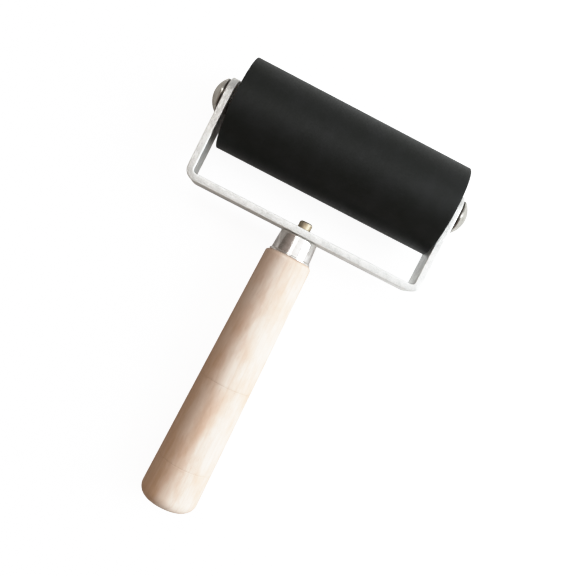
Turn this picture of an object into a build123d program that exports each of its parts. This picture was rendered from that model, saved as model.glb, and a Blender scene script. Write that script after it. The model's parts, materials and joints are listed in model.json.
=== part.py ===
from build123d import *
import os
from math import asin, atan, atan2, cos, degrees, hypot, radians

# Rubber brayer: a rubber-covered roller turning on an axle between the arms of a bent strip,
# with a turned wooden handle on a rod through the middle of the strip.
#
# Everything is drawn in the tool's own frame and laid down at the end. In the tool's frame
# X runs along the axle, the handle points to -Y and Z is square to the plane of the strip.
# Millimetres throughout.

# Roller
roller_length = 100.0
roller_diameter = 41.2
roller_edge = 0.25           # rounding of the rubber's end edges
core_diameter = 26.0         # core tube outside, rubber inside
core_wall = 2.0
core_inset = 1.0             # tube end below the rubber's end face
plug_depth = 12.0            # part of the plug inside the tube
plug_flange = 0.8
plug_clearance = 0.2         # flange rim inside the rubber
plug_dish_diameters = (22.6, 15.0)
plug_dish = 0.5              # turned recess in the plug's face
bush_diameter = 9.0
bush_flange_diameter = 13.0
bush_flange = 0.8            # let into the plug, flush with the rubber's end face
running_clearance = 0.05     # radial, bush on axle
end_float = 1.0              # the roller has slid this far towards the right-hand washer

# Axle and its ends
axle_diameter = 6.0
screw_diameter = 4.0
screw_reach = 10.0           # thread inside the axle
thread_clearance = 0.02      # radial, so that mating threads only touch
head_diameter = 15.0
head_height = 3.9
head_rim = 0.5               # straight rim under the dome
slot_width = 1.2
slot_depth = 1.2
screw_washer_diameter = 14.8
screw_washer = 1.1
thrust_washer = 0.5

# Bent strip
strip_width = 17.5
strip_thickness = 3.2
strip_edge = 0.35            # broken edges of the strip
inner_width = 103.6          # between the arms
throat = 35.0                # axle centre to the inner face of the base
bend_radius = 1.6            # inside the two bends

# Handle rod and lock nut
rod_diameter = 6.0
stub_height = 3.65           # rod end standing proud inside the strip
rod_in_wood = 50.0
nut_across_flats = 10.0
nut_height = 3.0
barb_count = 9
barb_pitch = 4.0
barb_depth = 0.3

# Ferrule and handle
ferrule_length = 10.0
ferrule_top_diameter = 16.9
ferrule_mouth_diameter = 18.2
ferrule_wall = 0.8
ferrule_shoulder = 1.1       # rounding at the closed end
ferrule_bead = 0.5           # radius of the rolled rim at the mouth
handle_length = 119.2
handle_neck_diameter = 21.4
handle_butt_diameter = 26.5  # where the taper would meet the flat butt
neck_radius = 1.5
butt_radius = 5.6
line_places = (60.5, 99.3)  # scribed rings, distance from the neck
line_width = 0.5
line_depth = 0.15

# Derived places along the tool's Y axis
base_inner_y = -throat
base_outer_y = base_inner_y - strip_thickness
neck_y = base_outer_y - ferrule_length
butt_y = neck_y - handle_length
tenon_y = base_outer_y - ferrule_wall - nut_height - 0.4
arm_inner_x = inner_width / 2
arm_outer_x = arm_inner_x + strip_thickness


def shaft(radius, x_from, x_to):
    """Solid cylinder on the axle's line between two X places."""
    middle = Pos((x_from + x_to) / 2, 0, 0) * Rot(0, 90, 0)
    return middle * Cylinder(radius, abs(x_to - x_from))


def ring(outer, inner, x_from, x_to):
    """Hollow cylinder on the axle's line between two X places."""
    return shaft(outer, x_from, x_to) - shaft(inner, x_from, x_to)


def turned(*corners):
    """Solid of revolution about the handle's line, from (radius, y) corners in order."""
    outline = Polyline(*[(radius, y) for radius, y in corners], close=True)
    return revolve(make_face(outline), Axis.Y)


def rod_hole(clearance=0.0):
    """Round bar on the handle's line, long enough to cut through anything on it."""
    upright = Pos(0, base_outer_y, 0) * Rot(90, 0, 0)
    return upright * Cylinder(rod_diameter / 2 + clearance, 40)


# ---------------------------------------------------------------- roller

def rubber_sleeve():
    half = roller_length / 2
    sleeve = ring(roller_diameter / 2, core_diameter / 2, -half, half)
    rims = sleeve.edges().filter_by(GeomType.CIRCLE).group_by(SortBy.RADIUS)[-1]
    return fillet(rims, roller_edge)


def core_tube():
    half = roller_length / 2 - core_inset
    return ring(core_diameter / 2, core_diameter / 2 - core_wall, -half, half)


def end_plug(side):
    """Moulded plug pressed into one end of the core tube, bored for the bush."""
    tube_end = roller_length / 2 - core_inset
    face = tube_end + plug_flange
    flange_seat = roller_length / 2 - bush_flange
    body = shaft(core_diameter / 2 - core_wall, side * (tube_end - plug_depth), side * tube_end)
    body += shaft(core_diameter / 2 - plug_clearance, side * tube_end, side * face)
    outer_dish, inner_dish = plug_dish_diameters
    body -= ring(outer_dish / 2, inner_dish / 2, side * (face - plug_dish), side * (face + 1))
    body -= shaft(bush_flange_diameter / 2, side * flange_seat, side * (face + 1))
    return body - shaft(bush_diameter / 2, -roller_length, roller_length)


def bush(side):
    """Flanged bush, pressed into the plug; its bore runs on the axle."""
    face = roller_length / 2
    body = shaft(bush_diameter / 2, side * (face - plug_depth), side * face)
    body += shaft(bush_flange_diameter / 2, side * (face - bush_flange), side * face)
    body -= shaft(axle_diameter / 2 + running_clearance, -roller_length, roller_length)
    rims = body.edges().filter_by(GeomType.CIRCLE).group_by(SortBy.RADIUS)[-1]
    return chamfer(rims.sort_by(Axis.X)[-1 if side > 0 else 0], 0.2)


# ------------------------------------------------------ axle and fasteners

def axle_rod():
    """Spacer axle between the arms, tapped at both ends."""
    rod = shaft(axle_diameter / 2, -arm_inner_x, arm_inner_x)
    for side in (-1, 1):
        tapped_to = side * (arm_inner_x - screw_reach - 1.5)
        rod -= shaft(screw_diameter / 2 + thread_clearance, side * arm_inner_x, tapped_to)
    return rod


def thrust_washer_at(side):
    """Loose washer between the bush flange and the arm."""
    return ring(
        bush_flange_diameter / 2, axle_diameter / 2 + 0.1,
        side * (arm_inner_x - thrust_washer), side * arm_inner_x,
    )


def screw_washer_at(side):
    """Flat washer under the domed head."""
    return ring(
        screw_washer_diameter / 2, screw_diameter / 2 + 0.2,
        side * arm_outer_x, side * (arm_outer_x + screw_washer),
    )


def end_screw(side):
    """Domed, slotted screw that clamps the arm to the end of the axle."""
    seat = arm_outer_x + screw_washer
    head_radius = head_diameter / 2
    dome_height = head_height - head_rim
    dome_radius = (head_radius**2 + dome_height**2) / (2 * dome_height)
    dome_centre = seat + head_height - dome_radius
    head = shaft(head_radius, side * seat, side * (seat + head_height))
    head &= Pos(side * dome_centre, 0, 0) * Sphere(dome_radius)
    slot = Box(2 * slot_depth, head_diameter, slot_width)
    head -= Pos(side * (seat + head_height), 0, 0) * slot
    shank_end = arm_inner_x - screw_reach
    shank = shaft(screw_diameter / 2, side * shank_end, side * seat)
    return head + shank


# -------------------------------------------------------------- bent strip

def u_frame():
    """Flat strip bent to a U, round-ended arms, holes for the screws and the handle rod."""
    arm_end = strip_width / 2

    def bent_outline(half_width, floor_y, corner):
        height = arm_end + 1 - floor_y
        blank = Pos(0, floor_y + height / 2) * Rectangle(2 * half_width, height)
        return fillet(blank.vertices().group_by(Axis.Y)[0], corner)

    outside = bent_outline(arm_outer_x, base_outer_y, bend_radius + strip_thickness)
    inside = bent_outline(arm_inner_x, base_inner_y, bend_radius)
    strip = extrude(outside - inside, strip_width / 2, both=True)

    # seen along the axle: a band as wide as the strip that ends in a half circle
    band_length = strip_width - base_outer_y
    band = Pos(0, -band_length / 2, 0) * Box(2 * arm_outer_x, band_length, strip_width)
    strip &= band + shaft(arm_end, -arm_outer_x, arm_outer_x)

    long_edges = strip.edges().filter_by(lambda edge: edge_follows_strip(edge))
    strip = fillet(long_edges, strip_edge)
    strip -= shaft(screw_diameter / 2 + 0.2, -arm_outer_x - 1, arm_outer_x + 1)
    return strip - rod_hole(thread_clearance)


def edge_follows_strip(edge):
    """The strip's own long edges, not the seams across it."""
    first, last = edge.position_at(0), edge.position_at(1)
    return abs(first.Z - last.Z) < 0.01 * strip_width or edge.geom_type == GeomType.CIRCLE


# ------------------------------------------------- handle, rod and ferrule

def handle_rod():
    """Rod from the stub inside the strip down into the wood, with a barbed tail."""
    radius = rod_diameter / 2
    top = base_inner_y + stub_height
    tail = neck_y - rod_in_wood
    rod = turned((0, top), (radius - 0.6, top), (radius, top - 0.6),
                 (radius, tail + 1), (radius - 1, tail), (0, tail))
    for number in range(barb_count):
        y = tail + 3 + number * barb_pitch
        rod -= turned((radius + 1, y), (radius - barb_depth, y), (radius - barb_depth, y + 0.6),
                      (radius, y + 2), (radius + 1, y + 2))
    return rod


def lock_nut():
    """Thin hexagon nut inside the ferrule, tight against its closed end."""
    top = base_outer_y - ferrule_wall
    hexagon = RegularPolygon(nut_across_flats / 2, 6, major_radius=False)
    nut = Pos(0, top, 0) * Rot(90, 0, 0) * extrude(hexagon, nut_height)
    corner = nut_across_flats / 2 * 1.1547
    rounding = turned((0, top), (corner - 0.7, top), (corner, top - 0.5),
                      (corner, top - nut_height + 0.5), (corner - 0.7, top - nut_height),
                      (0, top - nut_height))
    return (nut & rounding) - rod_hole(thread_clearance)


def ferrule_radius(y):
    """Outside radius of the tapered ferrule at a Y place."""
    part_way = (base_outer_y - y) / ferrule_length
    growth = (ferrule_mouth_diameter - ferrule_top_diameter) / 2
    return ferrule_top_diameter / 2 + growth * part_way


def ferrule():
    """Tapered cup over the handle's tenon, rounded at the closed end, rim rolled at the mouth."""
    inside_top = base_outer_y - ferrule_wall
    cup = turned((0, base_outer_y), (ferrule_radius(base_outer_y), base_outer_y),
                 (ferrule_radius(neck_y), neck_y), (0, neck_y))
    closed_rim = cup.edges().filter_by(GeomType.CIRCLE).group_by(Axis.Y)[-1]
    cup = fillet(closed_rim, ferrule_shoulder)
    bead_ring = Pos(ferrule_radius(neck_y), neck_y + ferrule_bead) * Circle(ferrule_bead)
    cup += revolve(bead_ring, Axis.Y)
    cup -= turned((0, inside_top), (ferrule_radius(inside_top) - ferrule_wall, inside_top),
                  (ferrule_radius(neck_y) - ferrule_wall, neck_y), (0, neck_y))
    return cup - rod_hole(0.2)


def handle_radius(y):
    """Radius of the handle's taper at a Y place."""
    growth = (handle_butt_diameter - handle_neck_diameter) / 2
    return handle_neck_diameter / 2 + growth * (neck_y - y) / handle_length


def wood_handle():
    """Turned handle: tenon for the ferrule, taper widening to a flat butt, two scribed rings."""
    blank = turned((0, neck_y), (handle_radius(neck_y), neck_y),
                   (handle_radius(butt_y), butt_y), (0, butt_y))
    butt_rim = blank.edges().filter_by(GeomType.CIRCLE).sort_by(Axis.Y)[0]
    blank = fillet(butt_rim, butt_radius)
    neck_rim = blank.edges().filter_by(GeomType.CIRCLE).sort_by(Axis.Y)[-1]
    blank = fillet(neck_rim, neck_radius)
    fit = ferrule_wall + 0.02
    blank += turned((0, tenon_y), (ferrule_radius(tenon_y) - fit, tenon_y),
                    (ferrule_radius(neck_y) - fit, neck_y), (0, neck_y))
    for place in line_places:
        y = neck_y - place
        radius = handle_radius(y)
        blank -= turned((radius + 1, y + line_width), (radius + 1, y - line_width),
                        (radius, y - line_width / 2), (radius - line_depth, y),
                        (radius, y + line_width / 2))
    bore_end = neck_y - rod_in_wood - 1.5
    bore = turned((0, tenon_y), (rod_diameter / 2 + 0.02, tenon_y),
                  (rod_diameter / 2 + 0.02, bore_end), (0, bore_end - 1.5))
    return blank - bore


# ------------------------------------------------------------ laying it down

# The tool rests on the roller and on the lower edge of the handle's butt. The centre of that
# edge's rounding lies edge_reach from the axle, at edge_slope to the handle's line.
edge_along = -(butt_y + butt_radius)
taper = atan((handle_radius(butt_y) - handle_radius(neck_y)) / handle_length)
edge_across = handle_radius(-edge_along) - butt_radius / cos(taper)
edge_reach = hypot(edge_along, edge_across)
edge_slope = degrees(atan2(edge_across, edge_along))
lay_angle = degrees(asin((roller_diameter / 2 - butt_radius) / edge_reach)) - edge_slope

# The furthest point of the laid butt is on the rounding of its upper edge.
butt_reach = edge_reach * cos(radians(edge_slope - lay_angle)) + butt_radius
axle_y = (butt_reach - roller_diameter / 2) / 2
lay_down = Pos(0, axle_y, roller_diameter / 2) * Rot(lay_angle, 0, 0)

slid = Pos(end_float, 0, 0)

nodes = {
    "rubber_sleeve": slid * rubber_sleeve(),
    "core_tube": slid * core_tube(),
    "end_plug_left": slid * end_plug(-1),
    "end_plug_right": slid * end_plug(1),
    "bush_left": slid * bush(-1),
    "bush_right": slid * bush(1),
    "axle_rod": axle_rod(),
    "thrust_washer_left": thrust_washer_at(-1),
    "thrust_washer_right": thrust_washer_at(1),
    "screw_washer_left": screw_washer_at(-1),
    "screw_washer_right": screw_washer_at(1),
    "end_screw_left": end_screw(-1),
    "end_screw_right": end_screw(1),
    "u_frame": u_frame(),
    "handle_rod": handle_rod(),
    "lock_nut": lock_nut(),
    "ferrule": ferrule(),
    "wood_handle": wood_handle(),
}

os.makedirs("parts", exist_ok=True)
for name, solid in nodes.items():
    laid = lay_down * solid
    laid.label = name
    export_step(laid, f"parts/{name}.step")

print(f"lay angle {lay_angle:.3f} deg, axle at y {axle_y:.3f}, z {roller_diameter / 2:.3f} mm")
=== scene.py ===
import json
import math
import bpy
import numpy as np
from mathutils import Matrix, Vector


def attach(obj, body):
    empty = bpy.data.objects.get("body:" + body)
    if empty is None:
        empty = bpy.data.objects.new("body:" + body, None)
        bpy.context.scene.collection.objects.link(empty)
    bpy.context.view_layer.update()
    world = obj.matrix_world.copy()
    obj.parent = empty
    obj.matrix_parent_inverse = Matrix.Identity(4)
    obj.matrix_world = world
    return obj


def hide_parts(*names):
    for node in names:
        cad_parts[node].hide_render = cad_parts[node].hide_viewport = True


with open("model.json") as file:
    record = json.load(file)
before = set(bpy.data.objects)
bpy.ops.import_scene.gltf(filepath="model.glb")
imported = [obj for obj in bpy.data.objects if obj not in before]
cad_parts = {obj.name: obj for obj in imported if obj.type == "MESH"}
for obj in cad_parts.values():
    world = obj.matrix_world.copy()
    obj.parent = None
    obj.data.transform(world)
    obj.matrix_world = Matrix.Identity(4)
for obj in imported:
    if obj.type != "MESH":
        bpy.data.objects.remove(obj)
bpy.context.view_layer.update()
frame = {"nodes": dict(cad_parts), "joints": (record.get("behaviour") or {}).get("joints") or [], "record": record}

# Rubber brayer, dressed around its CAD frame. Lengths are in metres; mm turns millimetres into them.
mm = 0.001
print("stage: frame loaded,", len(frame["nodes"]), "nodes")


# The tool's own axes: X runs along the axle, Y from the handle towards the roller, Z square to the bent
# strip. The axle's place comes from the joint and the handle's direction from the butt mount.
axlePoint = Vector(frame["joints"][0]["pos_m"])
buttMount = next(m for m in frame["record"]["mounts"] if m["name"] == "butt_face")
toolY = -Vector(buttMount["axis"]).normalized()
toolX = Vector((1, 0, 0))
toolZ = toolX.cross(toolY)
layDown = np.array([toolX, toolY, toolZ])   # rows are the tool's axes in the row frame
layAngle = math.atan2(toolY.z, toolY.y)


def toTable(points):
    # tool coordinates to the row frame: turn by the lay angle, then move to the axle
    return points @ layDown + np.array(axlePoint)


def toolBox(node):
    # lowest and highest tool coordinates of a CAD node
    mesh = frame["nodes"][node].data
    points = np.empty(len(mesh.vertices) * 3)
    mesh.vertices.foreach_get("co", points)
    points = (points.reshape(-1, 3) - np.array(axlePoint)) @ layDown.T
    return points.min(axis=0), points.max(axis=0)


weldDistance = 1e-4 * mm     # points nearer than this become one


def weldedMesh(name, sheets, creaseDegrees=35):
    # each sheet is (grid of points, edge mask); neighbours in a grid are joined by quads, equal points
    # are merged so seams and poles close, and quads that lose a corner there become triangles
    corners, points, edges, offset = [], [], [], 0
    for grid, edge in sheets:
        rows, columns = grid.shape[:2]
        index = np.arange(rows * columns).reshape(rows, columns) + offset
        quads = np.stack([index[:-1, :-1], index[:-1, 1:], index[1:, 1:], index[1:, :-1]], axis=-1)
        quads = quads.reshape(-1, 4)
        spots = toTable(grid.reshape(-1, 3))
        if enclosedVolume(spots, quads - offset) < 0:      # so that the faces point outwards
            quads = quads[:, ::-1]
        corners.append(quads)
        points.append(spots)
        edges.append(np.broadcast_to(edge, grid.shape[:2]).reshape(-1))
        offset += rows * columns
    points, corners, edges = np.concatenate(points), np.concatenate(corners), np.concatenate(edges)
    keys = np.round(points / weldDistance).astype(np.int64)
    first, merged = np.unique(keys, axis=0, return_index=True, return_inverse=True)[1:]
    corners = merged.reshape(-1)[corners]
    repeats = corners == np.roll(corners, -1, axis=1)
    quads = corners[repeats.sum(axis=1) == 0]
    lost = repeats.sum(axis=1) == 1
    triangles = corners[lost][~repeats[lost]].reshape(-1, 3)
    mesh = bpy.data.meshes.new(name)
    mesh.from_pydata(points[first].tolist(), [], quads.tolist() + triangles.tolist())
    edge = mesh.attributes.new("edge", "FLOAT", "POINT")
    edge.data.foreach_set("value", edges[first].astype(np.float32))
    mesh.shade_smooth()
    mesh.set_sharp_from_angle(angle=math.radians(creaseDegrees))
    piece = bpy.data.objects.new(name, mesh)
    bpy.context.scene.collection.objects.link(piece)
    return piece


def enclosedVolume(points, quads):
    # a closed sheet's signed volume: the sum of the volumes from the sheet's middle to each triangle
    a, b, c, d = [points[quads[:, i]] - points.mean(axis=0) for i in range(4)]
    return np.einsum("ij,ij->", a, np.cross(b, c)) + np.einsum("ij,ij->", a, np.cross(c, d))


def outline(corners, step):
    # a line through (radius, place, rounding) corners, each rounded by an arc, in even steps;
    # the second array is 1 on the arcs, where a real piece wears first, and 0 between them.
    # An arc's middle lies on the corner's bisector, rounding / cos(half the sweep) away, and its points
    # blend the two radii by the sines of the angles left and done
    fewestOnArc = 6
    points = np.array([c[:2] for c in corners], float)
    line, worn = [points[:1]], [np.zeros(1)]
    for i in range(1, len(points)):
        start, end, arc = line[-1][-1], points[i], None
        rounding = corners[i][2] if i < len(points) - 1 else 0
        if rounding > 0:
            inward, onward = points[i - 1] - points[i], points[i + 1] - points[i]
            inward, onward = inward / np.linalg.norm(inward), onward / np.linalg.norm(onward)
            sweep = math.pi - math.acos(np.clip(inward @ onward, -1, 1))
            reach = rounding * math.tan(sweep / 2)
            middle = (inward + onward) / np.linalg.norm(inward + onward)
            centre = points[i] + middle * rounding / math.cos(sweep / 2)
            end = points[i] + inward * reach
            first, last = end - centre, points[i] + onward * reach - centre
            onArc = max(fewestOnArc, int(rounding * sweep / step) + 2)
            turn = np.linspace(0, 1, onArc)[1:, None] * sweep
            arc = (first * np.sin(sweep - turn) + last * np.sin(turn)) / math.sin(sweep) + centre
        count = max(1, int(round(np.linalg.norm(end - start) / step)))
        share = np.linspace(0, 1, count + 1)[1:, None]
        line.append(start + (end - start) * share)
        worn.append(np.zeros(count))
        if arc is not None:
            worn[-1][-1] = 1.0
            line.append(arc)
            worn.append(np.ones(len(arc)))
    return np.concatenate(line), np.concatenate(worn)


def turnedSheet(profile, around, alongX, relief=None):
    # a (radius, place) profile turned about the axle (alongX) or about the handle's line: the two
    # directions across are radius times the cosine and the sine of the angle;
    # relief(angle, place) adds a small unevenness to the radius
    line, worn = profile
    angle = np.linspace(0, 2 * math.pi, around + 1)
    angle[-1] = 0
    radius, place = line[:, :1], np.repeat(line[:, 1:2], around + 1, axis=1)
    if relief is not None:
        radius = radius + relief(angle[None, :], place) * (radius > 0)
    across, upward = radius * np.cos(angle), radius * np.sin(angle)
    if alongX:
        grid = np.stack([place, upward, across], axis=-1)
    else:
        grid = np.stack([across, place, upward], axis=-1)
    return grid, worn[:, None]


def threadRelief(pitch, depth, start, end):
    # a screw thread: a triangle wave that moves one pitch along the place for each full turn,
    # fading out over one pitch at both ends
    def relief(angle, place):
        phase = (place / pitch - angle / (2 * math.pi)) % 1
        fade = np.clip((place - start) / pitch, 0, 1) * np.clip((end - place) / pitch, 0, 1)
        return -depth * (1 - np.abs(2 * phase - 1)) * fade
    return relief


def fitPiece(piece, body, slot, *nodes):
    # the piece rides on its body, stands for its CAD nodes and takes its slot's finish
    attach(piece, body)
    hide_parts(*nodes)
    piece.data.materials.append(finishes[slot])


print("stage: mesh tools ready")


def newGroup(name, inputs):
    # an empty shader group with a vector and named values in, and a mask out
    group = bpy.data.node_groups.new(name, "ShaderNodeTree")
    group.interface.new_socket(name="Vector", in_out="INPUT", socket_type="NodeSocketVector")
    for key, value in inputs.items():
        socket = group.interface.new_socket(name=key, in_out="INPUT", socket_type="NodeSocketFloat")
        socket.default_value = value
    group.interface.new_socket(name="Mask", in_out="OUTPUT", socket_type="NodeSocketFloat")
    given = addNode(group, "NodeGroupInput").outputs
    return group, given, addNode(group, "NodeGroupOutput").inputs["Mask"]


def addNode(tree, kind, **values):
    # a node whose settings and inputs are given by name; a socket given as a value is linked
    node = tree.nodes.new(kind)
    for key, value in values.items():
        socket = node.inputs.get(key.replace("_", " "))
        if socket is None:
            setattr(node, key, value)
        elif isinstance(value, bpy.types.NodeSocket):
            tree.links.new(value, socket)
        else:
            socket.default_value = value
    return node


def calculate(tree, operation, *values):
    # a Math node, its inputs numbers or sockets
    node = addNode(tree, "ShaderNodeMath", operation=operation)
    for socket, value in zip(node.inputs, values):
        if isinstance(value, bpy.types.NodeSocket):
            tree.links.new(value, socket)
        else:
            socket.default_value = value
    return node.outputs[0]


def remap(tree, value, low, high, toLow=0.0, toHigh=1.0):
    # value's range low to high stretched to toLow to toHigh, and held at both ends
    node = addNode(tree, "ShaderNodeMapRange", Value=value)
    for key, bound in zip(("From Min", "From Max", "To Min", "To Max"), (low, high, toLow, toHigh)):
        if isinstance(bound, bpy.types.NodeSocket):
            tree.links.new(bound, node.inputs[key])
        else:
            node.inputs[key].default_value = bound
    return node.outputs["Result"]


def makeMottle():
    # soft patches: layered noise stretched between a low and a high level
    group, given, out = newGroup("mottle", {"Scale": 1.0, "Detail": 4.0, "Low": 0.4, "High": 0.6})
    noise = addNode(group, "ShaderNodeTexNoise", Vector=given["Vector"], Scale=given["Scale"],
                    Detail=given["Detail"], Roughness=0.58)
    group.links.new(remap(group, noise.outputs["Fac"], given["Low"], given["High"]), out)
    return group


def makeScratches():
    # thin lines where a noise passes through its middle value, broken up by a broader noise
    group, given, out = newGroup("fineScratches", {"Scale": 1.0, "Width": 0.02, "Breaks": 0.3})
    noise = addNode(group, "ShaderNodeTexNoise", Vector=given["Vector"], Scale=given["Scale"], Detail=1.0)
    away = calculate(group, "ABSOLUTE", calculate(group, "SUBTRACT", noise.outputs["Fac"], 0.5))
    lines = remap(group, away, 0.0, given["Width"], 1.0, 0.0)
    breakScale = calculate(group, "MULTIPLY", given["Scale"], given["Breaks"])
    broad = addNode(group, "ShaderNodeTexNoise", Vector=given["Vector"], Scale=breakScale, Detail=2.0)
    kept = remap(group, broad.outputs["Fac"], 0.48, 0.62)
    group.links.new(calculate(group, "MULTIPLY", lines, kept), out)
    return group


def makeWear():
    # rubbed edges: the piece's edge attribute, eaten into by a noise
    group, given, out = newGroup("wornEdge", {"Edge": 0.0, "Scale": 1.0, "Reach": 0.5})
    noise = addNode(group, "ShaderNodeTexNoise", Vector=given["Vector"], Scale=given["Scale"], Detail=3.0)
    eaten = calculate(group, "ADD", noise.outputs["Fac"], given["Reach"])
    uneven = calculate(group, "MULTIPLY", given["Edge"], eaten)
    group.links.new(remap(group, uneven, 0.55, 0.9), out)
    return group


def makeSpecks():
    # small round specks, only some of the cells holding one
    group, given, out = newGroup("specks", {"Scale": 1.0, "Size": 0.2, "Share": 0.5})
    cells = addNode(group, "ShaderNodeTexVoronoi", Vector=given["Vector"], Scale=given["Scale"])
    parts = addNode(group, "ShaderNodeSeparateColor", Color=cells.outputs["Color"])
    held = calculate(group, "LESS_THAN", parts.outputs["Red"], given["Share"])
    spot = remap(group, cells.outputs["Distance"], 0.0, given["Size"], 1.0, 0.0)
    group.links.new(calculate(group, "MULTIPLY", held, spot), out)
    return group


mottle, fineScratches, wornEdge, specks = makeMottle(), makeScratches(), makeWear(), makeSpecks()


class Finish:
    # one material while it is being wired: its tree, its shader and its coordinates in tool millimetres
    def __init__(self, slot, **constants):
        self.material = bpy.data.materials.new(slot)
        self.material.use_nodes = True
        self.tree = self.material.node_tree
        self.shader = self.tree.nodes["Principled BSDF"]
        for key, value in constants.items():
            self.shader.inputs[key.replace("_", " ")].default_value = value
        origin = -(layDown @ np.array(axlePoint)) / mm
        coords = addNode(self.tree, "ShaderNodeTexCoord")
        self.millimetres = addNode(self.tree, "ShaderNodeMapping", Vector=coords.outputs["Object"],
                                   Location=tuple(origin), Rotation=(-layAngle, 0, 0),
                                   Scale=(1 / mm, 1 / mm, 1 / mm)).outputs[0]
        self.edge = addNode(self.tree, "ShaderNodeAttribute", attribute_name="edge").outputs["Fac"]

    def stretched(self, x=1.0, y=1.0, z=1.0, turn=(0, 0, 0), shift=(0, 0, 0)):
        # tool millimetres squeezed or stretched along each axis, for patterns with a direction
        return addNode(self.tree, "ShaderNodeMapping", Vector=self.millimetres, Scale=(x, y, z),
                       Rotation=turn, Location=shift).outputs[0]

    def mask(self, group, vector=None, **values):
        # a shared group placed in this material with its own values
        node = addNode(self.tree, "ShaderNodeGroup", node_tree=group)
        self.tree.links.new(vector or self.millimetres, node.inputs["Vector"])
        for key, value in values.items():
            if isinstance(value, bpy.types.NodeSocket):
                self.tree.links.new(value, node.inputs[key])
            else:
                node.inputs[key].default_value = value
        return node.outputs["Mask"]

    def blend(self, share, first, second):
        # first where the share is 0 and second where it is 1
        node = addNode(self.tree, "ShaderNodeMix", data_type="RGBA")
        for socket, value in ((node.inputs[0], share), (node.inputs[6], first), (node.inputs[7], second)):
            if isinstance(value, bpy.types.NodeSocket):
                self.tree.links.new(value, socket)
            else:
                socket.default_value = value if isinstance(value, float) else (*value, 1)
        return node.outputs[2]

    def colour(self, socket):
        self.tree.links.new(socket, self.shader.inputs["Base Color"])

    def roughness(self, share, low, high):
        level = remap(self.tree, share, 0.0, 1.0, low, high)
        self.tree.links.new(level, self.shader.inputs["Roughness"])

    def bump(self, *layers):
        # each layer is (height 0 to 1, relief in millimetres), from the lowest to the topmost
        normal = None
        for height, relief in layers:
            node = addNode(self.tree, "ShaderNodeBump", Height=height, Strength=1.0, Distance=relief * mm)
            if normal is not None:
                self.tree.links.new(normal, node.inputs["Normal"])
            normal = node.outputs["Normal"]
        self.tree.links.new(normal, self.shader.inputs["Normal"])

    def combine(self, *shares):
        # the largest of several masks
        total = shares[0]
        for share in shares[1:]:
            total = calculate(self.tree, "MAXIMUM", total, share)
        return total


finishes = {}


rubberLook = {"dark": (0.0036, 0.0044, 0.0034), "pale": (0.0066, 0.0072, 0.0068),
              "chalk": (0.014, 0.014, 0.013), "roughness": (0.46, 0.56), "groundRelief": 0.012,
              "grainRelief": 0.010}     # every finish has its reliefs in millimetres


def blackRubber():
    # black rubber ground on a lathe: faint rings round the roller, a fine grain and a little chalky dust
    f = Finish("black_rubber", Specular_IOR_Level=0.21)
    patches = f.mask(mottle, Scale=0.09, Detail=3.0, Low=0.4, High=0.62)
    rings = f.mask(mottle, f.stretched(5.0, 0.12, 0.12), Scale=1.0, Detail=5.0, Low=0.3, High=0.7)
    grain = f.mask(mottle, Scale=7.0, Detail=2.0, Low=0.35, High=0.65)
    dust = f.mask(specks, Scale=1.1, Size=0.16, Share=0.12)
    rubbed = f.mask(wornEdge, Edge=f.edge, Scale=0.9, Reach=0.3)
    colour = f.blend(patches, rubberLook["dark"], rubberLook["pale"])
    f.colour(f.blend(f.combine(dust, rubbed), colour, rubberLook["chalk"]))
    f.roughness(f.combine(rings, rubbed), *rubberLook["roughness"])
    f.bump((rings, rubberLook["groundRelief"]), (grain, rubberLook["grainRelief"]))
    return f.material


finishes["black_rubber"] = blackRubber()


zincLook = {"dull": (0.54, 0.54, 0.53), "bright": (0.88, 0.875, 0.855), "worn": (0.90, 0.90, 0.88),
            "speck": (0.36, 0.36, 0.35), "roughness": (0.46, 0.27), "crystalShare": 0.55,
            "pitShare": 0.5, "relief": 0.045, "scratchRelief": 0.006}


def zincStrip():
    # bright zinc over sheared bar: small crystals, cloudy patches, fine scratches and polished edges
    f = Finish("zinc_strip", Metallic=0.84)
    crystals = f.mask(mottle, Scale=2.6, Detail=5.0, Low=0.36, High=0.66)
    clouds = f.mask(mottle, Scale=0.22, Detail=3.0, Low=0.38, High=0.62)
    lines = f.mask(fineScratches, f.stretched(0.25, 0.25, 2.5), Scale=1.6, Width=0.012)
    pits = f.mask(specks, Scale=0.75, Size=0.2, Share=0.25)
    rubbed = f.mask(wornEdge, Edge=f.edge, Scale=1.4, Reach=0.35)
    crystalShare = zincLook["crystalShare"]
    cloudy = calculate(f.tree, "MULTIPLY", clouds, 1 - crystalShare)
    share = calculate(f.tree, "MULTIPLY_ADD", crystals, crystalShare, cloudy)
    colour = f.blend(share, zincLook["dull"], zincLook["bright"])
    colour = f.blend(calculate(f.tree, "MULTIPLY", pits, zincLook["pitShare"]), colour, zincLook["speck"])
    f.colour(f.blend(rubbed, colour, zincLook["worn"]))
    f.roughness(share, *zincLook["roughness"])
    f.bump((crystals, zincLook["relief"]), (lines, -zincLook["scratchRelief"]))
    return f.material


finishes["zinc_strip"] = zincStrip()


filmShare = 0.8     # how far the tarnish covers the clean metal


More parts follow.
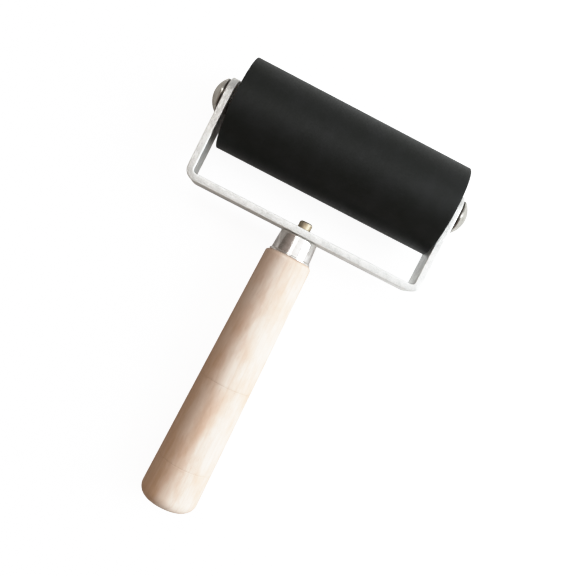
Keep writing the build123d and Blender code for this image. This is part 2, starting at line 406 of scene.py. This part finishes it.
def polishedMetal(slot, clean, tarnish, roughness, scratchVector, turningVector, relief, worn):
    # plated metal: a clean colour tarnished in soft patches, fine scratches, and fine turning lines
    f = Finish(slot, Metallic=1.0)
    film = f.mask(mottle, Scale=0.45, Detail=4.0, Low=0.42, High=0.7)
    smear = f.mask(mottle, Scale=0.16, Detail=2.0, Low=0.35, High=0.7)
    lines = f.mask(fineScratches, f.stretched(*scratchVector), Scale=1.3, Width=0.014)
    colour = f.blend(calculate(f.tree, "MULTIPLY", film, filmShare), clean, tarnish)
    if worn is not None:
        colour = f.blend(f.mask(wornEdge, Edge=f.edge, Scale=1.5, Reach=0.3), colour, worn)
    f.colour(colour)
    f.roughness(f.combine(smear, lines), *roughness)
    layers = [(lines, -relief)]
    if turningVector is not None:
        turned = f.mask(mottle, f.stretched(*turningVector), Scale=1.0, Detail=4.0, Low=0.3, High=0.7)
        layers.insert(0, (turned, relief))
    f.bump(*layers)
    return f.material


metalLook = {
    # slot: clean, tarnished, roughness range, scratch stretch, turning stretch, relief, worn edges
    "nickel_screw": ((0.56, 0.54, 0.50), (0.36, 0.34, 0.305), (0.17, 0.32), (0.6, 0.6, 0.6), (4.0, 0.2, 0.2),
                     0.003, (0.70, 0.66, 0.60)),
    "yellow_rod": ((0.50, 0.415, 0.295), (0.33, 0.265, 0.18), (0.50, 0.68), (0.5, 2.0, 0.5), (0.2, 5.0, 0.2),
                   0.010, (0.72, 0.66, 0.55)),
    "chrome_ferrule": ((0.84, 0.82, 0.81), (0.66, 0.62, 0.60), (0.07, 0.20), (2.0, 0.3, 2.0), None,
                       0.003, (0.90, 0.88, 0.85)),
    "axle_steel": ((0.60, 0.60, 0.60), (0.42, 0.40, 0.37), (0.20, 0.40), (0.2, 2.0, 2.0), (0.3, 3.0, 3.0),
                   0.004, None),
    "core_aluminium": ((0.80, 0.81, 0.82), (0.62, 0.63, 0.65), (0.26, 0.42), (0.2, 2.0, 2.0), (0.3, 3.0, 3.0),
                       0.006, None),
    # the screw washers' near-black is partly their own colour and partly painted shade for the dark line under the
    # domed heads
    "dark_washer": ((0.045, 0.040, 0.035), (0.085, 0.070, 0.055), (0.34, 0.52), (0.6, 1.0, 1.0), None,
                    0.006, None),
}
for slot, look in metalLook.items():
    finishes[slot] = polishedMetal(slot, *look)


bronzeLook = {"brass": (0.64, 0.44, 0.21), "oiled": (0.46, 0.30, 0.14), "pore": (0.16, 0.10, 0.05),
              "roughness": (0.44, 0.24), "poreRelief": 0.03}


def bushBronze():
    # sintered bronze: a brassy ground with dark oil-filled pores
    f = Finish("bush_bronze", Metallic=0.9)
    pores = f.mask(specks, Scale=3.2, Size=0.42, Share=0.4)
    oil = f.mask(mottle, Scale=0.5, Detail=3.0, Low=0.4, High=0.65)
    colour = f.blend(oil, bronzeLook["brass"], bronzeLook["oiled"])
    f.colour(f.blend(pores, colour, bronzeLook["pore"]))
    f.roughness(oil, *bronzeLook["roughness"])
    f.bump((pores, -bronzeLook["poreRelief"]))
    return f.material


finishes["bush_bronze"] = bushBronze()


nylonLook = {
    # slot: body colour, rubbed colour, roughness range
    "plug_nylon": ((0.030, 0.030, 0.032), (0.075, 0.075, 0.078), (0.38, 0.56)),
    # the thrust washers' near-black is partly their own colour and partly painted shade for the gap between the
    # arms and the roller
    "washer_nylon": ((0.055, 0.054, 0.052), (0.11, 0.108, 0.10), (0.36, 0.5)),
}
flowShare, nylonRelief = 0.5, 0.02


def mouldedNylon(slot, body, rubbed, roughness):
    # moulded nylon: a fine spark-eroded grain, flow marks round the gate, and a little dust
    f = Finish(slot)
    grain = f.mask(mottle, Scale=4.0, Detail=2.0, Low=0.35, High=0.65)
    flow = f.mask(mottle, f.stretched(0.3, 1.0, 1.0), Scale=0.3, Detail=3.0, Low=0.4, High=0.68)
    dust = f.mask(specks, Scale=1.4, Size=0.2, Share=0.14)
    faint = calculate(f.tree, "MULTIPLY", flow, flowShare)
    f.colour(f.blend(f.combine(faint, dust), body, rubbed))
    f.roughness(f.combine(flow, dust), *roughness)
    f.bump((grain, nylonRelief))
    return f.material


for slot, look in nylonLook.items():
    finishes[slot] = mouldedNylon(slot, *look)


# the fourth colour and the five values on the line with them are painted shade, darkening the handle's -X side
# where the light falls least
woodLook = {"pale": (0.83, 0.705, 0.61), "rosy": (0.72, 0.515, 0.40), "paintedShade": (0.455, 0.262, 0.145),
            "line": (0.56, 0.37, 0.25), "fleck": (0.46, 0.30, 0.20), "groove": (0.36, 0.23, 0.15),
            "pith": (24.0, -31.0), "ringGap": 2.3, "roughness": (0.50, 0.66),
            "paintedShadeFrom": -4.0, "paintedShadeTo": -15.5, "paintedShadeLean": 0.05, "paintedShadeWaver": 2.4, "paintedShadeShare": 0.85,
            "lateShare": 0.20, "streakShare": 0.22, "fleckShare": 0.30, "poreShare": 0.25,
            "grooveShare": 0.14, "streakRelief": 0.03, "poreRelief": 0.03}


def paleWood():
    # sanded beech: growth rings about a pith outside the handle, long pores and short dark flecks along
    # the grain, soft rosy patches, painted shade that darkens and warms the -X side, and a darker colour in the
    # scribed rings
    f = Finish("pale_wood", Specular_IOR_Level=0.16)
    pithX, pithZ = woodLook["pith"]
    along = f.stretched(1.0, 0.035, 1.0, turn=(0.03, 0.0, 0.045), shift=(-pithX, 0.0, -pithZ))
    rings = addNode(f.tree, "ShaderNodeTexWave", wave_type="RINGS", rings_direction="Y", wave_profile="SAW",
                    Vector=along, Scale=math.pi / (10 * woodLook["ringGap"]), Distortion=1.6, Detail=2.0,
                    Detail_Scale=0.6)
    late = remap(f.tree, rings.outputs["Fac"], 0.72, 1.0)
    patches = f.mask(mottle, f.stretched(1.0, 0.4, 1.0), Scale=0.13, Detail=4.0, Low=0.40, High=0.68)
    streaks = f.mask(mottle, f.stretched(1.0, 0.05, 1.0), Scale=1.3, Detail=4.0, Low=0.38, High=0.66)
    flecks = f.mask(specks, f.stretched(1.0, 0.22, 1.0), Scale=0.9, Size=0.26, Share=0.42)
    pores = f.mask(fineScratches, f.stretched(1.0, 0.03, 1.0), Scale=3.2, Width=0.035, Breaks=0.4)
    # painted shade: the handle's -X side, where the light falls least, is blended towards a dark orange tone
    spot = addNode(f.tree, "ShaderNodeSeparateXYZ", Vector=f.millimetres)
    side = calculate(f.tree, "MULTIPLY_ADD", spot.outputs["Y"], woodLook["paintedShadeLean"], spot.outputs["X"])
    centred = calculate(f.tree, "SUBTRACT", patches, 0.5)
    side = calculate(f.tree, "MULTIPLY_ADD", centred, -woodLook["paintedShadeWaver"], side)
    paintedShade = remap(f.tree, side, woodLook["paintedShadeFrom"], woodLook["paintedShadeTo"], 0.0, woodLook["paintedShadeShare"])
    colour = f.blend(patches, woodLook["pale"], woodLook["rosy"])
    colour = f.blend(paintedShade, colour, woodLook["paintedShade"])
    for figure, share, tone in ((late, "lateShare", "line"), (streaks, "streakShare", "rosy"),
                                (flecks, "fleckShare", "fleck"), (pores, "poreShare", "line"),
                                (f.edge, "grooveShare", "groove")):
        faint = calculate(f.tree, "MULTIPLY", figure, woodLook[share])
        colour = f.blend(faint, colour, woodLook[tone])
    f.colour(colour)
    f.roughness(f.combine(streaks, patches), *woodLook["roughness"])
    f.bump((streaks, woodLook["streakRelief"]), (pores, -woodLook["poreRelief"]))
    return f.material


finishes["pale_wood"] = paleWood()
print("stage: finishes,", len(finishes))


sleeveLook = {"rim": 0.25 * mm, "around": 192, "step": 1.0 * mm, "nickDepth": 0.3 * mm, "nickWidth": 0.7 * mm,
              "nicks": ((1, 1.15), (1, 2.9), (-1, 0.6), (-1, 4.4))}     # each nick: which end, bearing


def rubberSleeve():
    # a tube of rubber ground true: rounded rims, and a few tiny nicks in them
    low, high = toolBox("rubber_sleeve")
    bore = (toolBox("core_tube")[1][2] - toolBox("core_tube")[0][2]) / 2
    radius, rim = (high[2] - low[2]) / 2, sleeveLook["rim"]
    corners = [(bore, low[0], 0), (radius, low[0], rim), (radius, high[0], rim), (bore, high[0], 0),
               (bore, low[0], 0)]

    def nicks(angle, place):
        # each nick is a dent that fades as exp(-(distance / width) squared) from its spot on the rim
        dent = 0
        for side, bearing in sleeveLook["nicks"]:
            end = high[0] if side > 0 else low[0]
            aside = ((angle - bearing + math.pi) % (2 * math.pi) - math.pi) * radius
            spread = (aside**2 + (place - end) ** 2) / sleeveLook["nickWidth"] ** 2
            dent = dent - sleeveLook["nickDepth"] * np.exp(-spread)
        return dent
    sheet = turnedSheet(outline(corners, sleeveLook["step"]), sleeveLook["around"], True, nicks)
    return weldedMesh("rubberSleeve", [sheet])


fitPiece(rubberSleeve(), "roller", "black_rubber", "rubber_sleeve")


stripLook = {"thickness": 3.2 * mm, "insideBend": 1.6 * mm, "edge": 0.35 * mm, "bulge": 0.12 * mm,
             "sheared": 0.03 * mm, "shearWaves": (3.1 * mm, 7.3 * mm), "step": 0.8 * mm,
             "tip": 36, "arm": 40, "bend": 14, "base": 90}     # the last four count rows of faces


def stripRuns(low, high):
    # the bends' radius at the strip's middle line, and the lengths of an arm, a bend and the base
    radius = stripLook["insideBend"] + stripLook["thickness"] / 2
    halfWide, floor = high[0] - stripLook["thickness"] / 2, low[1] + stripLook["thickness"] / 2
    return radius, high[1] - floor - radius, radius * math.pi / 2, 2 * (halfWide - radius)


def stripPath(distance, low, high):
    # the strip's middle line: down the left arm, round a bend, across the base, round a bend, and up;
    # a bend adds its radius times the sine of the angle turned one way, and times 1 - cosine the other.
    # Returns X, Y and the direction of travel at each distance from the left arm's tip
    radius, arm, quarter, base = stripRuns(low, high)
    halfWide, tip = high[0] - stripLook["thickness"] / 2, high[1]
    turn1 = np.clip(distance - arm, 0, quarter) / radius
    turn2 = np.clip(distance - arm - quarter - base, 0, quarter) / radius
    across = np.clip(distance - arm - quarter, 0, base)
    down, up = np.clip(distance, 0, arm), np.clip(distance - arm - 2 * quarter - base, 0, arm)
    x = -halfWide + radius * (1 - np.cos(turn1)) + across + radius * np.sin(turn2)
    y = tip - down - radius * np.sin(turn1) + radius * (1 - np.cos(turn2)) + up
    return x, y, turn1 + turn2 - math.pi / 2


def bentStrip():
    # a flat bar with full round ends is a profile swept round a line instead of a point: each point is
    # the line's nearest point plus the profile's radius along the line's outward direction.
    # The blank is then bent along the strip's path, and the metal inside each bend bulges sideways.
    low, high = toolBox("u_frame")
    half, thick, edge = (high[2] - low[2]) / 2, stripLook["thickness"] / 2, stripLook["edge"]
    radius, arm, quarter, base = stripRuns(low, high)
    length = 2 * arm + 2 * quarter + base
    stops = np.cumsum([half, arm - half, quarter, base, quarter, arm - half])
    counts = [stripLook[run] for run in ("arm", "bend", "base", "bend", "arm")]
    runs = [np.linspace(stops[i], stops[i + 1], counts[i] + 1)[:-1] for i in range(5)]
    middle = np.concatenate(runs)
    around = np.linspace(0, math.pi, stripLook["tip"] + 1)[:-1]
    line = np.concatenate([middle, np.full(len(around), stops[5]), length - middle,
                           np.full(len(around), stops[0]), middle[:1]])
    alongPart = np.concatenate([middle * 0, np.sin(around), middle * 0, -np.sin(around), [0.0]])
    acrossPart = np.concatenate([middle * 0 + 1, np.cos(around), middle * 0 - 1, -np.cos(around), [1.0]])
    corners = [(0, -thick, 0), (half, -thick, edge), (half, thick, edge), (0, thick, 0)]
    profile, worn = outline(corners, stripLook["step"])
    reach, offset = profile[:, :1], profile[:, 1:2]
    distance = line + reach * alongPart
    bends = (arm + quarter / 2, length - arm - quarter / 2)
    inBend = sum(np.exp(-(((distance - bend) / quarter) ** 2)) for bend in bends)
    short, long = stripLook["shearWaves"]
    waver = np.sin(distance / short) * np.sin(distance / long + 1) * stripLook["sheared"]
    sideways = reach - (stripLook["bulge"] * inBend * offset / thick - waver) * reach / half
    x, y, heading = stripPath(distance, low, high)
    x, y = x + offset * np.sin(heading), y - offset * np.cos(heading)
    return weldedMesh("bentStrip", [(np.stack([x, y, sideways * acrossPart], axis=-1), worn[:, None])])


fitPiece(bentStrip(), "handle_frame", "zinc_strip", "u_frame")


screwLook = {"rim": 0.5 * mm, "headHeight": 3.9 * mm, "slotWidth": 1.2 * mm, "slotDepth": 1.2 * mm,
             "shank": 2.0 * mm, "pitch": 0.7 * mm, "thread": 0.35 * mm, "lead": 0.4 * mm,
             "overlap": 0.3 * mm, "step": 0.12 * mm, "across": 64, "rows": 30, "slotRows": 7, "around": 48}


def domedScrew(side, name):
    # the head is cut into rows across the slot; each row is a closed section of the head, and a row on
    # each edge of the slot is doubled, once on the dome and once on the slot's floor. The dome is part of
    # a ball whose radius is (radius squared + rise squared) / (2 rise), for the rise above the rim.
    low, high = toolBox("end_screw_left" if side < 0 else "end_screw_right")
    radius, height, rim = (high[2] - low[2]) / 2, screwLook["headHeight"], screwLook["rim"]
    crown = high[0] if side > 0 else -low[0]
    rise = height - rim
    dome = (radius**2 + rise**2) / (2 * rise)
    seat, halfSlot = crown - height, screwLook["slotWidth"] / 2
    outer = radius * np.sin(np.linspace(math.pi / 2, math.asin(halfSlot / radius), screwLook["rows"]))
    inner = np.linspace(halfSlot, -halfSlot, screwLook["slotRows"])
    z = np.concatenate([outer, inner, -outer[::-1]])[:, None]
    inSlot = np.concatenate([outer * 0, inner * 0 + 1, outer * 0])[:, None]
    width = np.sqrt(np.clip(radius**2 - z**2, 0, None))
    y = width * np.sin(np.linspace(-math.pi / 2, math.pi / 2, screwLook["across"] + 1))
    top = crown - dome + np.sqrt(np.clip(dome**2 - y**2 - z**2, 0, None))
    top = np.where(inSlot > 0, np.minimum(top, crown - screwLook["slotDepth"]), top)
    x = np.concatenate([top, top * 0 + seat, top[:, :1]], axis=1)
    y = np.concatenate([y, y[:, ::-1], y[:, :1]], axis=1)
    head = np.stack([x * side, y, np.broadcast_to(z, y.shape)], axis=-1)
    tip = low[0] if side > 0 else high[0]
    shank, lead, buried = screwLook["shank"], screwLook["lead"], side * (seat + screwLook["overlap"])
    corners = [(0, tip, 0), (shank - lead, tip, 0), (shank, tip + side * lead, 0), (shank, buried, 0),
               (0, buried, 0)]
    first, last = sorted((tip, side * seat))
    relief = threadRelief(screwLook["pitch"], screwLook["thread"], first, last)
    body = turnedSheet(outline(corners, screwLook["step"]), screwLook["around"], True, relief)
    return weldedMesh(name, [(head, np.zeros((1, 1))), body], creaseDegrees=30)


for side, end in ((-1, "left"), (1, "right")):
    screw = domedScrew(side, "domedScrew" + end.capitalize())
    fitPiece(screw, "handle_frame", "nickel_screw", "end_screw_" + end)


washerLook = {"rounding": 0.15 * mm, "screwHole": 2.2 * mm, "axleHole": 3.1 * mm, "step": 0.5 * mm,
              "around": 96}


def flatWasher(node, hole, name):
    # a stamped washer: a flat ring with rounded rims
    low, high = toolBox(node)
    radius, rounding = (high[2] - low[2]) / 2, washerLook["rounding"]
    corners = [(hole, low[0], 0), (radius, low[0], rounding), (radius, high[0], rounding), (hole, high[0], 0),
               (hole, low[0], 0)]
    return weldedMesh(name, [turnedSheet(outline(corners, washerLook["step"]), washerLook["around"], True)])


for end in ("left", "right"):
    for kind, hole, slot in (("screw", "screwHole", "dark_washer"), ("thrust", "axleHole", "washer_nylon")):
        node = kind + "_washer_" + end
        washer = flatWasher(node, washerLook[hole], kind + "Washer" + end.capitalize())
        fitPiece(washer, "handle_frame", slot, node)


rodLook = {"chamfer": 0.6 * mm, "chamferRound": 0.12 * mm, "point": (1.2 * mm, 1.6 * mm),
           "pointRound": 0.3 * mm, "pitch": 2.4 * mm, "thread": 0.35 * mm, "threaded": 38 * mm,
           "around": 72, "step": 0.25 * mm}


def handleRod():
    # a turned bar with a chamfered end inside the strip, a point at the other end, and a coarse thread
    # cut into it where it is in the wood
    low, high = toolBox("handle_rod")
    radius, chamfer, chamferRound = (high[0] - low[0]) / 2, rodLook["chamfer"], rodLook["chamferRound"]
    narrowing, pointLength = rodLook["point"]
    corners = [(0, low[1], 0), (radius - narrowing, low[1], 0),
               (radius, low[1] + pointLength, rodLook["pointRound"]),
               (radius, high[1] - chamfer, chamferRound), (radius - chamfer, high[1], chamferRound),
               (0, high[1], 0)]
    relief = threadRelief(rodLook["pitch"], rodLook["thread"], low[1], low[1] + rodLook["threaded"])
    sheet = turnedSheet(outline(corners, rodLook["step"]), rodLook["around"], False, relief)
    return weldedMesh("handleRod", [sheet])


fitPiece(handleRod(), "handle_frame", "yellow_rod", "handle_rod")


ferruleLook = {"length": 10.0 * mm, "closedRadius": 8.45 * mm, "mouthRadius": 9.1 * mm, "wall": 0.8 * mm,
               "shoulder": 1.1 * mm, "bead": 0.5 * mm, "rodHole": 3.2 * mm, "holeRound": 0.1 * mm,
               "flareRound": 0.15 * mm, "insideRound": 0.3 * mm, "lip": 0.1 * mm, "around": 160,
               "step": 0.35 * mm}


def ferrule():
    # a drawn cup: hole for the rod, rounded shoulder, gentle taper, and a rim rolled out at the mouth;
    # its radius grows by the taper for each unit of length, and the bead stands proud of that
    closed = toolBox("ferrule")[1][1]
    mouth = closed - ferruleLook["length"]
    hole, closedRadius, rim = (ferruleLook[key] for key in ("rodHole", "closedRadius", "mouthRadius"))
    wall, bead = ferruleLook["wall"], ferruleLook["bead"]
    flare, beadHeight, beadRound = 2.3 * bead, 2.0 * bead, 0.95 * bead
    inside = closed - wall
    taper = (rim - closedRadius) / ferruleLook["length"]
    corners = [(hole, inside, 0), (hole, closed, ferruleLook["holeRound"]),
               (closedRadius, closed, ferruleLook["shoulder"]),
               (rim - flare * taper, mouth + flare, ferruleLook["flareRound"]),
               (rim + bead, mouth + beadHeight, beadRound), (rim + bead, mouth, beadRound),
               (rim - ferruleLook["lip"], mouth, 0), (rim - wall, mouth, 0),
               (closedRadius + taper * wall - wall, inside, ferruleLook["insideRound"]), (hole, inside, 0)]
    sheet = turnedSheet(outline(corners, ferruleLook["step"]), ferruleLook["around"], False)
    return weldedMesh("ferruleCup", [sheet])


fitPiece(ferrule(), "handle_frame", "chrome_ferrule", "ferrule")


handleLook = {"length": 119.2 * mm, "neckRadius": 10.7 * mm, "buttRadius": 13.25 * mm,
              "neckRound": 1.5 * mm, "buttRound": 5.6 * mm, "ringPlaces": (60.5 * mm, 99.3 * mm),
              "ringWidth": 0.5 * mm, "ringDepth": 0.12 * mm, "ringEdge": 0.1 * mm, "ringFloor": 0.08 * mm,
              "ringDarkening": (1.0, 0.5), "boreRadius": 3.02 * mm, "boreDepth": 51.5 * mm,
              "drillPoint": 1.5 * mm, "tenonGap": 0.02 * mm, "tenonRound": 0.2 * mm, "around": 168,
              "step": 0.9 * mm, "sanding": 0.0175 * mm, "sandingDrop": 1.2, "sandingSecond": 0.6,
              "sandingWaves": (19 * mm, 11 * mm), "buttFade": 6 * mm, "neckFade": 3 * mm}


def woodHandle():
    # a turned handle: tenon for the ferrule, square shoulder, straight taper to a rounded flat butt, two
    # scribed rings, and the slight unevenness that hand sanding leaves
    low, high = toolBox("wood_handle")
    butt, tenonTop, neck = low[1], high[1], low[1] + handleLook["length"]
    neckRadius, buttRadius = handleLook["neckRadius"], handleLook["buttRadius"]
    growth = (buttRadius - neckRadius) / handleLook["length"]
    taper = (ferruleLook["mouthRadius"] - ferruleLook["closedRadius"]) / ferruleLook["length"]
    tenon = ferruleLook["mouthRadius"] - ferruleLook["wall"] - handleLook["tenonGap"]
    bore, boreEnd = handleLook["boreRadius"], neck - handleLook["boreDepth"]
    corners = [(0, butt, 0), (buttRadius, butt, handleLook["buttRound"])]
    half, ringEdge = handleLook["ringWidth"] / 2, handleLook["ringEdge"]
    for ringPlace in sorted(handleLook["ringPlaces"], reverse=True):
        y, radius = neck - ringPlace, neckRadius + growth * ringPlace
        corners += [(radius, y - half, ringEdge),
                    (radius - handleLook["ringDepth"], y, handleLook["ringFloor"]),
                    (radius, y + half, ringEdge)]
    corners += [(neckRadius, neck, handleLook["neckRound"]), (tenon, neck, 0),
                (tenon - taper * (tenonTop - neck), tenonTop, handleLook["tenonRound"]),
                (bore, tenonTop, 0), (bore, boreEnd, 0), (0, boreEnd - handleLook["drillPoint"], 0)]
    profile = outline(corners, handleLook["step"])[0]
    # the colour is darker in the scribed rings, by a given share for each ring
    inGroove = sum(share * np.exp(-(((profile[:, 1] - neck + ringPlace) / handleLook["ringWidth"]) ** 2))
                   for ringPlace, share in zip(handleLook["ringPlaces"], handleLook["ringDarkening"]))
    onSurface = profile[:, 0] > 0.6 * neckRadius     # outside, and not in the bore

    def sanding(angle, place):
        # two and three slow waves round the handle that turn along it, dropped so that they take wood
        # away rather than add it, and fading at the butt and the neck
        first, second = handleLook["sandingWaves"]
        slow = np.sin(2 * angle + place / first) - handleLook["sandingDrop"]
        slow = slow + handleLook["sandingSecond"] * np.sin(3 * angle - place / second)
        fade = np.clip((place - butt) / handleLook["buttFade"], 0, 1)
        fade = fade * np.clip((neck - place) / handleLook["neckFade"], 0, 1)
        return handleLook["sanding"] * slow * fade * onSurface[:, None]
    sheet = turnedSheet((profile, inGroove * onSurface), handleLook["around"], False, sanding)
    return weldedMesh("woodHandle", [sheet])


fitPiece(woodHandle(), "handle_frame", "pale_wood", "wood_handle")


# the hidden pieces keep their CAD shape and get a finish
hiddenLook = {"core_tube": "core_aluminium", "end_plug_left": "plug_nylon", "end_plug_right": "plug_nylon",
              "bush_left": "bush_bronze", "bush_right": "bush_bronze", "axle_rod": "axle_steel",
              "lock_nut": "axle_steel"}
for node, slot in hiddenLook.items():
    for materialSlot in frame["nodes"][node].material_slots:
        materialSlot.material = finishes[slot]
print("stage: pieces made")


cameraLook = {
    "place": (-5.5 * mm, -75.1 * mm, 323.1 * mm),      # from the middle of the axle
    "turn": (-0.820, -2.631, 26.947),      # degrees about X, Y, Z
    "lens": 47.47,
    "sensor": 36,
    "shift": (0.0069, 0.0538),
    "nearest": 0.01,
}
bearing = math.radians(cameraLook["turn"][2])
rightward = np.array([math.cos(bearing), math.sin(bearing), 0])     # on the floor, to the view's right


def setCamera():
    # nearly overhead, with the tool lying askew in the view
    lens = bpy.data.cameras.new("camera")
    lens.lens = cameraLook["lens"]
    lens.sensor_width = cameraLook["sensor"]
    lens.shift_x, lens.shift_y = cameraLook["shift"]
    lens.clip_start = cameraLook["nearest"]
    camera = bpy.data.objects.new("camera", lens)
    camera.location = axlePoint + Vector(cameraLook["place"])
    camera.rotation_euler = [math.radians(a) for a in cameraLook["turn"]]
    bpy.context.scene.collection.objects.link(camera)
    bpy.context.scene.camera = camera


setCamera()

lightLook = {
    # name: right, ahead and height of the lamp as the camera sees the floor, size, watts, colour
    "keySoftbox": (0.85, -0.10, 0.52, (0.6, 0.7), 11.3, (0.85, 0.935, 0.99)),
    "topSoftbox": (0.25, 0.18, 0.85, (0.8, 0.50), 1.15, (1.0, 1.0, 0.985)),
    "armCard": (-0.05, 0.33, 0.85, (0.22, 0.34), 1.15, (1.0, 1.0, 0.985)),
}
worldLook = {
    # (sine of a direction's lean to the view's right, colour), from far left to far right
    "tones": ((-1.0, (0.45, 0.415, 0.38)), (-0.92, (0.27, 0.24, 0.215)), (-0.80, (0.17, 0.15, 0.13)),
              (-0.55, (0.34, 0.285, 0.25)), (-0.20, (0.37, 0.31, 0.275)), (0.10, (0.37, 0.36, 0.345)),
              (0.30, (0.56, 0.555, 0.545)), (0.55, (0.88, 0.89, 0.885)), (1.0, (1.5, 1.5, 1.48))),
    "strength": 0.9,
    "backdrop": (2.0, 2.0, 2.0),
    # the film's soft shoulder: linear light in, share of white out
    "shoulder": ((0.0, 0.0), (0.3, 0.3), (0.6, 0.595), (0.8, 0.765), (1.0, 0.88), (1.3, 0.965), (1.7, 1.0)),
}


def addSoftbox(name, right, ahead, height, size, watts, colour):
    # a rectangular lamp that faces the middle of the floor
    lamp = bpy.data.lights.new(name, "AREA")
    lamp.shape = "RECTANGLE"
    lamp.size, lamp.size_y = size
    lamp.energy = watts
    lamp.color = colour
    softbox = bpy.data.objects.new(name, lamp)
    softbox.location = (right * math.cos(bearing) - ahead * math.sin(bearing),
                        right * math.sin(bearing) + ahead * math.cos(bearing), height)
    softbox.rotation_euler = (-softbox.location).to_track_quat("-Z", "Y").to_euler()
    bpy.context.scene.collection.objects.link(softbox)


for lampName, look in lightLook.items():
    addSoftbox(lampName, *look)


def setWorld():
    # a soft room: the light changes only with how far a direction leans to the view's right
    world = bpy.data.worlds.new("studio")
    bpy.context.scene.world = world
    world.use_nodes = True
    tree = world.node_tree
    direction = addNode(tree, "ShaderNodeTexCoord").outputs["Generated"]
    lean = addNode(tree, "ShaderNodeVectorMath", operation="DOT_PRODUCT")
    tree.links.new(direction, lean.inputs[0])
    lean.inputs[1].default_value = rightward
    ramp = addNode(tree, "ShaderNodeValToRGB", Fac=remap(tree, lean.outputs["Value"], -1.0, 1.0))
    stops = ramp.color_ramp.elements
    while len(stops) < len(worldLook["tones"]):
        stops.new(0.5)
    for stop, (sine, tone) in zip(stops, worldLook["tones"]):
        stop.position = (sine + 1) / 2
        stop.color = (*tone, 1)
    seen = addNode(tree, "ShaderNodeLightPath").outputs["Is Camera Ray"]
    tone = addNode(tree, "ShaderNodeMix", data_type="RGBA")
    tree.links.new(seen, tone.inputs[0])
    tree.links.new(ramp.outputs["Color"], tone.inputs[6])
    tone.inputs[7].default_value = (*worldLook["backdrop"], 1)
    background = tree.nodes["Background"]
    background.inputs["Strength"].default_value = worldLook["strength"]
    tree.links.new(tone.outputs[2], background.inputs["Color"])


def setFilm():
    # the standard view with a soft shoulder, so that bright wood and metal pale before they clip
    view = bpy.context.scene.view_settings
    view.view_transform = "Standard"
    view.use_curve_mapping = True
    mapping, shoulder = view.curve_mapping, worldLook["shoulder"]
    white = shoulder[-1][0]
    mapping.white_level = (white, white, white)
    curve = mapping.curves[3]     # the one for all three colours together
    curve.points[0].location = (0.0, 0.0)
    curve.points[1].location = (1.0, 1.0)
    for light, share in shoulder[1:-1]:
        curve.points.new(light / white, share)
    mapping.update()


setWorld()
setFilm()


floorLook = {"half": 3.0, "seen": 1.12, "paper": (0.55, 0.55, 0.55), "farLeft": (0.44, 0.415, 0.39),
             "right": (0.72, 0.715, 0.70), "fall": (-0.03, 0.045), "unseen": 0.20, "roughness": 0.9}


def makeFloor():
    # white paper, lifted a little by its own glow where the lens sees it so that the shadows on it stay faint;
    # what it throws back on the object, a fainter glow and its colour, is painted light that falls off towards the
    # dim side of the room
    half = floorLook["half"]
    grid = np.array([[[-half, -half, 0], [half, -half, 0]], [[-half, half, 0], [half, half, 0]]])
    mesh = bpy.data.meshes.new("floor")
    mesh.from_pydata(grid.reshape(-1, 3).tolist(), [], [(0, 1, 3, 2)])
    floor = bpy.data.objects.new("floor", mesh)
    bpy.context.scene.collection.objects.link(floor)
    paper = bpy.data.materials.new("floorPaper")
    paper.use_nodes = True
    tree = paper.node_tree
    shader = tree.nodes["Principled BSDF"]
    shader.inputs["Roughness"].default_value = floorLook["roughness"]
    lean = addNode(tree, "ShaderNodeVectorMath", operation="DOT_PRODUCT")
    tree.links.new(addNode(tree, "ShaderNodeTexCoord").outputs["Object"], lean.inputs[0])
    lean.inputs[1].default_value = rightward
    bounce = addNode(tree, "ShaderNodeMix", data_type="RGBA")
    tree.links.new(remap(tree, lean.outputs["Value"], *floorLook["fall"]), bounce.inputs[0])
    bounce.inputs[6].default_value = (*floorLook["farLeft"], 1)
    bounce.inputs[7].default_value = (*floorLook["right"], 1)
    seen = addNode(tree, "ShaderNodeLightPath").outputs["Is Camera Ray"]
    tone = addNode(tree, "ShaderNodeMix", data_type="RGBA")
    tree.links.new(seen, tone.inputs[0])
    tree.links.new(bounce.outputs[2], tone.inputs[6])
    tone.inputs[7].default_value = (*floorLook["paper"], 1)
    tree.links.new(tone.outputs[2], shader.inputs["Base Color"])
    tree.links.new(tone.outputs[2], shader.inputs["Emission Color"])
    glow = remap(tree, seen, 0.0, 1.0, floorLook["unseen"], floorLook["seen"] / floorLook["paper"][0])
    tree.links.new(glow, shader.inputs["Emission Strength"])
    floor.data.materials.append(paper)


makeFloor()
print("stage: camera, floor and light")
